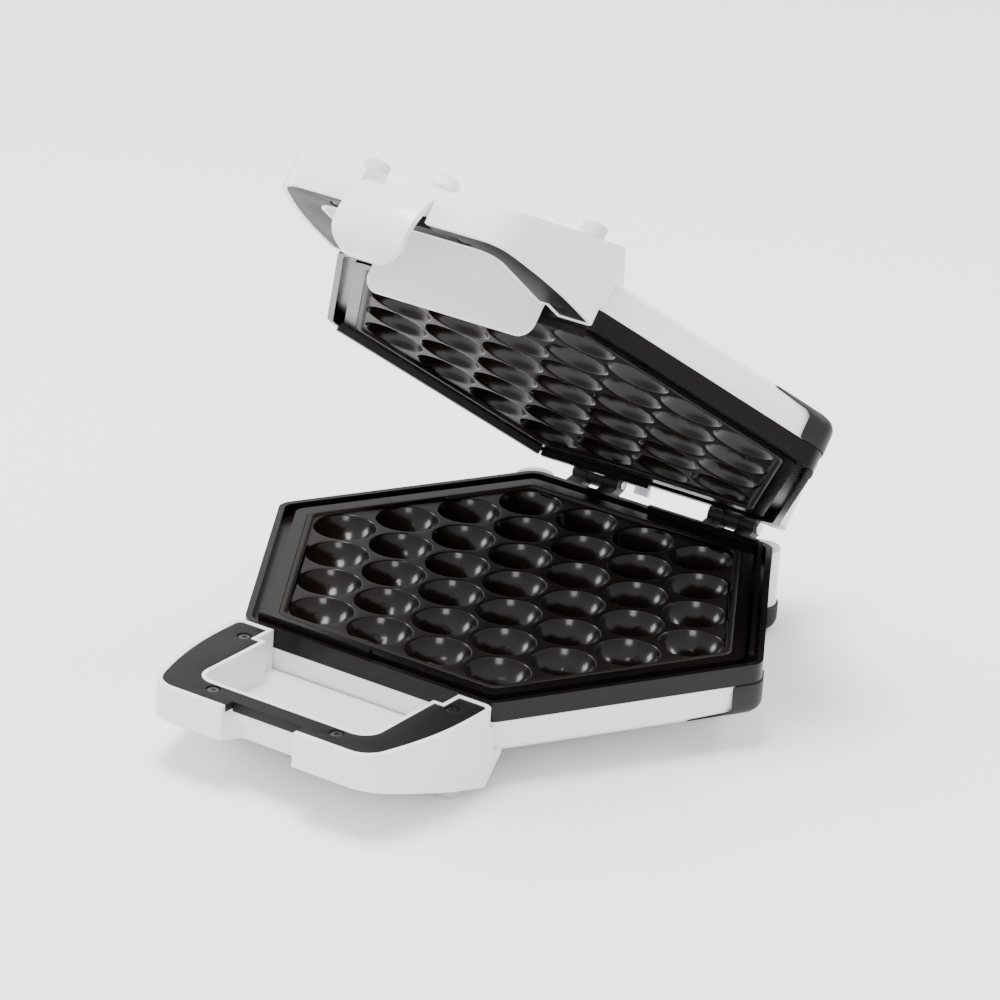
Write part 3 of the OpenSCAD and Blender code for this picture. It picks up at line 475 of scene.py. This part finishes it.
move = grid_tree.nodes.new("GeometryNodeSetPosition")
place = grid_tree.nodes.new("ShaderNodeCombineXYZ")
slant = grid_math("ADD", spot.outputs["X"], grid_math("MULTIPLY", spot.outputs["Y"], 0.5))
grid_tree.links.new(grid_math("MULTIPLY", slant, grid_in.outputs["Pitch"]), place.inputs["X"])
rows = grid_math("MULTIPLY", spot.outputs["Y"], math.sin(math.pi / 3))
grid_tree.links.new(grid_math("MULTIPLY", rows, grid_in.outputs["Pitch"]), place.inputs["Y"])
grid_tree.links.new(cut.outputs["Geometry"], move.inputs["Geometry"])
grid_tree.links.new(place.outputs[0], move.inputs["Position"])
source = grid_tree.nodes.new("GeometryNodeObjectInfo")
grid_tree.links.new(grid_in.outputs["Cell"], source.inputs["Object"])
spread = grid_tree.nodes.new("GeometryNodeInstanceOnPoints")
grid_tree.links.new(move.outputs["Geometry"], spread.inputs["Points"])
grid_tree.links.new(source.outputs["Geometry"], spread.inputs["Instance"])
real = grid_tree.nodes.new("GeometryNodeRealizeInstances")
grid_tree.links.new(spread.outputs["Instances"], real.inputs["Geometry"])
weld = grid_tree.nodes.new("GeometryNodeMergeByDistance")
grid_tree.links.new(real.outputs["Geometry"], weld.inputs["Geometry"])
grid_tree.links.new(grid_in.outputs["Weld"], weld.inputs["Distance"])
paint = grid_tree.nodes.new("GeometryNodeSetMaterial")
grid_tree.links.new(weld.outputs["Geometry"], paint.inputs["Geometry"])
grid_tree.links.new(grid_in.outputs["Coating"], paint.inputs["Material"])
grid_tree.links.new(paint.outputs["Geometry"], grid_out.inputs["Geometry"])
print("tree", grid_tree.name, "with", len(grid_tree.nodes), "nodes")


# %% A helper that runs a tree and keeps a plain mesh
def grown(tree, name, values, start=None):
    holder = bpy.data.objects.new(name + "_seed", start or bpy.data.meshes.new(name + "_seed"))
    bpy.context.scene.collection.objects.link(holder)
    modifier = holder.modifiers.new("grow", "NODES")
    modifier.node_group = tree
    for item in tree.interface.items_tree:
        if item.in_out == "INPUT" and item.name in values:
            modifier[item.identifier] = values[item.name]
    bpy.context.view_layer.update()
    graph = bpy.context.evaluated_depsgraph_get()
    mesh = bpy.data.meshes.new_from_object(holder.evaluated_get(graph))
    mesh.name = name
    bpy.data.objects.remove(holder)
    return mesh


grid_values = {
    "Pitch": PITCH, "Bubbles a Side": BUBBLES_A_SIDE, "Weld": WELD,
    "Cell": cell, "Coating": black_coating_painted_reflection,
}
skin_mesh = grown(grid_tree, "bubble_skin", grid_values)
print("skin of 37 bubbles:", len(skin_mesh.polygons), "faces")

# %% [markdown]
# The skin ends in a zigzag. The plate's flat border fills from there to the raised rim, whose
# rounded lip keeps the batter on the plate. A Solidify step gives the casting its wall.


# %% Border, rim and wall
def soft_hexagon_points(apothem, corner, count=8):
    out = []
    for k in range(6):
        middle = math.pi / 3 * k
        far = (apothem - corner) / math.cos(math.pi / 6)
        for i in range(count + 1):
            t = middle - math.pi / 6 + math.pi / 3 * i / count
            x = far * math.cos(middle) + corner * math.cos(t)
            y = far * math.sin(middle) + corner * math.sin(t)
            out.append((x, y))
    return out


# each step of the rim is its distance from the middle, its height and its corner radius, in mm
RIM_STEPS = [
    (89.0, -1.5, 4.5), (89.25, -1.42, 4.6), (89.5, -1.1, 4.8), (89.6, -0.7, 4.9), (89.8, -0.38, 5.0),
    (90.2, -0.2, 5.2), (91.3, -0.2, 5.6), (91.75, -0.34, 5.9), (92.0, -0.75, 6.0), (92.0, -2.0, 6.0),
]
PLATE_WALL = 1.4 * MM
POLISH_STARTS = WEB_Z - 0.1 * MM
plate_bm = bmesh.new()
plate_bm.from_mesh(skin_mesh)
border_edges = [e for e in plate_bm.edges if e.is_boundary]
loops = []
for apothem, z, corner in RIM_STEPS:
    outline = soft_hexagon_points(apothem * MM, corner * MM)
    loops.append([plate_bm.verts.new((x, y, z * MM)) for x, y in outline])
for inner, outer in zip(loops, loops[1:]):
    for i in range(len(inner)):
        j = (i + 1) % len(inner)
        plate_bm.faces.new((inner[i], outer[i], outer[j], inner[j]))
first = loops[0]
rim_edges = [plate_bm.edges.get((first[i], first[(i + 1) % len(first)])) for i in range(len(first))]
bmesh.ops.triangle_fill(
    plate_bm, use_beauty=True, use_dissolve=False, edges=border_edges + rim_edges, normal=(0, 0, 1)
)
bmesh.ops.recalc_face_normals(plate_bm, faces=plate_bm.faces)
top_face = max(plate_bm.faces, key=lambda f: f.calc_center_median().z)
if top_face.normal.z < 0:
    bmesh.ops.reverse_faces(plate_bm, faces=plate_bm.faces)
polish_layer = plate_bm.verts.layers.float.new("polish")
for vert in plate_bm.verts:
    vert[polish_layer] = 1.0 if vert.co.z < POLISH_STARTS else 0.0
for face in plate_bm.faces:
    face.smooth = True
plate_mesh = bpy.data.meshes.new("bubble_plate")
plate_bm.to_mesh(plate_mesh)
plate_bm.free()
print("plate top:", len(plate_mesh.polygons), "faces")


# %% The plate in both halves
def put(mesh, name, place, body, stands_for, finish_mat):
    mesh.transform(place)
    mesh.materials.clear()
    mesh.materials.append(finish_mat)
    obj = bpy.data.objects.new(name, mesh)
    bpy.context.scene.collection.objects.link(obj)
    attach(obj, body)
    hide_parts(*stands_for)
    return obj


for half, place in (("base", BASE_PLACE), ("lid", TURNED_PLACE)):
    holder = bpy.data.objects.new("plate_holder", plate_mesh.copy())
    bpy.context.scene.collection.objects.link(holder)
    wall = holder.modifiers.new("wall", "SOLIDIFY")
    wall.thickness, wall.offset, wall.use_even_offset = PLATE_WALL, -1.0, False
    bpy.context.view_layer.update()
    graph = bpy.context.evaluated_depsgraph_get()
    solid = bpy.data.meshes.new_from_object(holder.evaluated_get(graph))
    bpy.data.objects.remove(holder)
    made = put(solid, half + "_bubble_plate", place, half, [half + "_plate"], black_coating_painted_reflection)
    print(made.name, len(made.data.polygons), "faces")

# %% [markdown]
# ## Screws
#
# The handle plates are held by cross-head screws, and the shells by larger ones from below. One
# screw head is built, with a domed top and a cross cut out of it. A second tree sets it on
# every point of a list, with inputs for its scale and for which way it points.

# %% One screw head
HEAD_SIDES = 32
HEAD_PROFILE = [(2.8, -1.0), (2.8, -0.45), (2.6, -0.2), (2.2, -0.05), (1.0, 0.0)]
CROSS_HALF_LENGTH = 1.7
CROSS_HALF_WIDTH = 0.42
CROSS_HEIGHT = 1.6
CROSS_TAPER = 0.55
head_bm = bmesh.new()
head_turns = [2 * math.pi * i / HEAD_SIDES for i in range(HEAD_SIDES)]
head_rings = [
    [head_bm.verts.new((r * MM * math.cos(t), r * MM * math.sin(t), z * MM)) for t in head_turns]
    for r, z in HEAD_PROFILE
]
for lower, upper in zip(head_rings, head_rings[1:]):
    for i in range(HEAD_SIDES):
        j = (i + 1) % HEAD_SIDES
        head_bm.faces.new((lower[i], lower[j], upper[j], upper[i]))
head_bm.faces.new(head_rings[-1])
head_bm.faces.new(list(reversed(head_rings[0])))
head_mesh = bpy.data.meshes.new("screw_head")
head_bm.to_mesh(head_mesh)
head_bm.free()
cross_bm = bmesh.new()
for half_x, half_y in (
    (CROSS_HALF_LENGTH, CROSS_HALF_WIDTH),
    (CROSS_HALF_WIDTH, CROSS_HALF_LENGTH),
):
    for v in bmesh.ops.create_cube(cross_bm, size=1.0)["verts"]:
        pinch = CROSS_TAPER if v.co.z < 0 else 1.0
        x = v.co.x * 2 * half_x * pinch * MM
        y = v.co.y * 2 * half_y * pinch * MM
        v.co = Vector((x, y, (v.co.z * CROSS_HEIGHT) * MM))
cross_mesh = bpy.data.meshes.new("cross")
cross_bm.to_mesh(cross_mesh)
cross_bm.free()
head = bpy.data.objects.new("screw_head", head_mesh)
cross = bpy.data.objects.new("cross", cross_mesh)
for o in (head, cross):
    bpy.context.scene.collection.objects.link(o)
slot_cut = head.modifiers.new("cross", "BOOLEAN")
slot_cut.operation, slot_cut.solver, slot_cut.object = "DIFFERENCE", "EXACT", cross
slot_cut.use_self = True
bpy.context.view_layer.update()
graph = bpy.context.evaluated_depsgraph_get()
screw_mesh = bpy.data.meshes.new_from_object(head.evaluated_get(graph))
bpy.data.objects.remove(head)
bpy.data.objects.remove(cross)
screw = bpy.data.objects.new("screw", screw_mesh)
print("one screw head has", len(screw_mesh.polygons), "faces")

# %% The screw tree
screw_tree = bpy.data.node_groups.new("screws_on_points", "GeometryNodeTree")
for label, kind in (
    ("Geometry", "Geometry"), ("Screw", "Object"), ("Size", "Float"), ("Tip Over", "Float"),
    ("Seed", "Int"), ("Steel", "Material"),
):
    screw_tree.interface.new_socket(label, in_out="INPUT", socket_type="NodeSocket" + kind)
screw_tree.interface.new_socket("Geometry", in_out="OUTPUT", socket_type="NodeSocketGeometry")
s_in = screw_tree.nodes.new("NodeGroupInput")
s_out = screw_tree.nodes.new("NodeGroupOutput")
s_info = screw_tree.nodes.new("GeometryNodeObjectInfo")
screw_tree.links.new(s_in.outputs["Screw"], s_info.inputs["Object"])
s_random = screw_tree.nodes.new("FunctionNodeRandomValue")
s_random.inputs[2].default_value, s_random.inputs[3].default_value = 0.0, math.pi / 2
screw_tree.links.new(s_in.outputs["Seed"], s_random.inputs["Seed"])
s_turn = screw_tree.nodes.new("ShaderNodeCombineXYZ")
screw_tree.links.new(s_in.outputs["Tip Over"], s_turn.inputs["X"])
screw_tree.links.new(s_random.outputs[1], s_turn.inputs["Z"])
s_spread = screw_tree.nodes.new("GeometryNodeInstanceOnPoints")
screw_tree.links.new(s_in.outputs["Geometry"], s_spread.inputs["Points"])
screw_tree.links.new(s_info.outputs["Geometry"], s_spread.inputs["Instance"])
screw_tree.links.new(s_turn.outputs[0], s_spread.inputs["Rotation"])
screw_tree.links.new(s_in.outputs["Size"], s_spread.inputs["Scale"])
s_real = screw_tree.nodes.new("GeometryNodeRealizeInstances")
screw_tree.links.new(s_spread.outputs["Instances"], s_real.inputs["Geometry"])
s_paint = screw_tree.nodes.new("GeometryNodeSetMaterial")
screw_tree.links.new(s_real.outputs["Geometry"], s_paint.inputs["Geometry"])
screw_tree.links.new(s_in.outputs["Steel"], s_paint.inputs["Material"])
screw_tree.links.new(s_paint.outputs["Geometry"], s_out.inputs["Geometry"])
print("tree", screw_tree.name, "with", len(screw_tree.nodes), "nodes")


# %% Screws in both halves
def screw_points(name, places):
    mesh = bpy.data.meshes.new(name)
    mesh.from_pydata([Vector(p) * MM for p in places], [], [])
    return mesh


# places in mm, measured from the middle of the plate
GRIP_HEAD_Z = -1.22
SHELL_HEAD_Z = -22.3
SHELL_SCREW_RING = 95 / math.cos(math.pi / 6)
SCREW_SEED = 3
GRIP_PLACES = [
    (side * x, y, GRIP_HEAD_Z) for side in (-1, 1) for x, y in ((51, -117.5), (30, -165.3))
]
SHELL_PLACES = [
    (SHELL_SCREW_RING * math.cos(t), SHELL_SCREW_RING * math.sin(t), SHELL_HEAD_Z)
    for t in (math.pi / 3 * k for k in range(6))
]
for half, place in (("base", BASE_PLACE), ("lid", TURNED_PLACE)):
    for kind, places, size, tip, steel in (
        ("grip_screws", GRIP_PLACES, 1.0, 0.0, dark_screw),
        ("shell_screws", SHELL_PLACES, 0.92, math.pi, zinc_steel),
    ):
        values = {"Screw": screw, "Size": size, "Tip Over": tip, "Seed": SCREW_SEED, "Steel": steel}
        mesh = grown(screw_tree, half + "_" + kind, values, screw_points(kind, places))
        made = put(mesh, half + "_" + kind + "_heads", place, half, [half + "_" + kind], steel)
        print(made.name, len(made.data.polygons), "faces")

# %% [markdown]
# ## Softened mouldings
#
# Real mouldings have no razor edges: a small radius on every corner catches a thin highlight. We
# take a copy of the exact part, merge its loose triangles, melt the flat ones into whole faces and
# round only the edges sharper than a given angle. The copy then stands for the exact part.


# %% A helper that softens a copy
SAME_POINT = 0.004 * MM
FLAT_DEG = 0.6
SHARP_DEG = 28.0
SHADED_SHARP_DEG = 35
ROUNDING_STEPS = 3


def softened(node, radius_mm):
    mesh = bpy.data.meshes.new(node + "_soft")
    bm = bmesh.new()
    bm.from_mesh(nodes[node].data)
    bmesh.ops.remove_doubles(bm, verts=bm.verts, dist=SAME_POINT)
    bmesh.ops.dissolve_limit(
        bm, angle_limit=math.radians(FLAT_DEG), use_dissolve_boundaries=False,
        verts=bm.verts, edges=bm.edges,
    )
    limit = math.radians(SHARP_DEG)
    sharp = [e for e in bm.edges if e.is_manifold and e.calc_face_angle(0.0) > limit]
    bmesh.ops.bevel(
        bm, geom=sharp, offset=radius_mm * MM, segments=ROUNDING_STEPS, profile=0.5, affect="EDGES",
        clamp_overlap=True, loop_slide=True, miter_outer="SHARP", material=-1,
    )
    bmesh.ops.triangulate(bm, faces=[f for f in bm.faces if len(f.verts) > 4])
    for face in bm.faces:
        face.smooth = True
    limit = math.radians(SHADED_SHARP_DEG)
    for edge in bm.edges:
        edge.smooth = not edge.is_manifold or edge.calc_face_angle(0.0) < limit
    bm.to_mesh(mesh)
    bm.free()
    mesh.materials.append(nodes[node].data.materials[0])
    obj = bpy.data.objects.new(node + "_soft", mesh)
    bpy.context.scene.collection.objects.link(obj)
    bodies = frame["record"]["behaviour"]["bodies"]
    body = next(b for b, members in bodies.items() if node in members)
    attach(obj, body)
    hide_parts(node)
    return obj


# the rounding of each part's edges, in mm
SOFT_RADII = {
    "base_shell": 0.7, "lid_shell": 0.7, "base_bezel": 0.45, "lid_bezel": 0.45, "clip": 0.7,
    "base_grip_plate": 0.3, "lid_grip_plate": 0.3, "base_corner_bumpers": 0.6,
    "lid_corner_bumpers": 0.6, "heat_guard": 0.6, "wire_sleeves": 0.5,
    "base_hinge_brackets": 0.4, "lid_hinge_leaves": 0.4,
    "base_front_feet": 0.8, "lid_front_feet": 0.8,
}
for node, radius in SOFT_RADII.items():
    made = softened(node, radius)
    print("softened", node, "faces", len(made.data.polygons))

# %% [markdown]
# ## Stage, light and camera
#
# A pale floor, a bright sky, one big soft lamp above and smaller ones at the left, in front and
# behind give the plain studio look. The floor and the lamps are not part of the object.

# %% Floor and world
FLOOR_HALF_SIZE = 6.0
FLOOR_TONE = 0.93
HORIZON_TONE = (0.55, 0.55, 0.56, 1)
ZENITH_TONE = (1, 1, 1, 1)
SKY_STRENGTH = 1.6
floor_mesh = bpy.data.meshes.new("studio_floor")
floor_bm = bmesh.new()
bmesh.ops.create_grid(floor_bm, x_segments=1, y_segments=1, size=FLOOR_HALF_SIZE)
floor_bm.to_mesh(floor_mesh)
floor_bm.free()
floor = bpy.data.objects.new("studio_floor", floor_mesh)
bpy.context.scene.collection.objects.link(floor)
floor_mat = bpy.data.materials.new("pale_floor")
floor_mat.use_nodes = True
floor_shader = floor_mat.node_tree.nodes["Principled BSDF"]
floor_shader.inputs["Base Color"].default_value = (FLOOR_TONE, FLOOR_TONE, FLOOR_TONE, 1)
floor_shader.inputs["Roughness"].default_value = 0.9
floor_mesh.materials.append(floor_mat)
world = bpy.data.worlds.new("studio")
bpy.context.scene.world = world
world.use_nodes = True
sky = world.node_tree
sky_height = sky.nodes.new("ShaderNodeSeparateXYZ")
sky.links.new(sky.nodes.new("ShaderNodeTexCoord").outputs["Generated"], sky_height.inputs[0])
sky_ramp = sky.nodes.new("ShaderNodeValToRGB")
horizon, zenith = sky_ramp.color_ramp.elements
horizon.position, horizon.color = 0.15, HORIZON_TONE
zenith.position, zenith.color = 0.85, ZENITH_TONE
sky.links.new(sky_height.outputs["Z"], sky_ramp.inputs["Fac"])
sky.links.new(sky_ramp.outputs["Color"], sky.nodes["Background"].inputs["Color"])
sky.nodes["Background"].inputs["Strength"].default_value = SKY_STRENGTH
print("floor and world are in")


# %% Lamps
def soft_lamp(name, place, target, size, power):
    data = bpy.data.lights.new(name, "AREA")
    data.shape = "RECTANGLE"
    data.size, data.size_y = size
    data.energy = power
    lamp = bpy.data.objects.new(name, data)
    bpy.context.scene.collection.objects.link(lamp)
    aim = (Vector(target) - Vector(place)).to_track_quat("-Z", "Y")
    lamp.rotation_mode = "QUATERNION"
    lamp.location, lamp.rotation_quaternion = place, aim
    return lamp


soft_lamp("top_softbox", (-0.2, -0.1, 1.6), (0, 0, 0.05), (0.7, 0.7), 42)
soft_lamp("left_softbox", (-1.4, -0.3, 0.7), (0, 0, 0.1), (0.5, 0.4), 10)
soft_lamp("front_softbox", (1.0, -1.7, 0.9), (0, 0, 0.1), (0.7, 0.4), 14)
soft_lamp("rear_softbox", (0.5, 1.4, 1.1), (0, 0, 0.1), (0.9, 0.3), 14)
print("lamps are in")

# %% [markdown]
# The camera looks down from the right of the front at a long focal length, so that both halves show
# their insides. Its turn about its own axis is small but real.

# %% Camera
AZIMUTH, ELEVATION, ROLL = (math.radians(v) for v in (33.13, 22.88, 3.72))
DISTANCE = 2.1953
FOCAL_LENGTH_MM = 184.42
SENSOR_WIDTH_MM = 36.0
TARGET = Vector((-0.0529, 0.066 + SHIFT_Y, SEAM_Z))
level = math.cos(ELEVATION)
back = Vector((math.sin(AZIMUTH) * level, -math.cos(AZIMUTH) * level, math.sin(ELEVATION)))
right = Vector((math.cos(AZIMUTH), math.sin(AZIMUTH), 0))
up = back.cross(right)
cam_x = math.cos(ROLL) * right + math.sin(ROLL) * up
cam_y = back.cross(cam_x)
turn = Matrix((cam_x, cam_y, back)).transposed().to_4x4()
cam_data = bpy.data.cameras.new("camera")
cam_data.lens = FOCAL_LENGTH_MM
cam_data.sensor_width = SENSOR_WIDTH_MM
cam_data.clip_start, cam_data.clip_end = 0.05, 30
camera = bpy.data.objects.new("camera", cam_data)
bpy.context.scene.collection.objects.link(camera)
camera.matrix_world = Matrix.Translation(TARGET + back * DISTANCE) @ turn
bpy.context.scene.camera = camera
bpy.context.view_layer.update()
print("camera at", [round(v, 3) for v in camera.location])
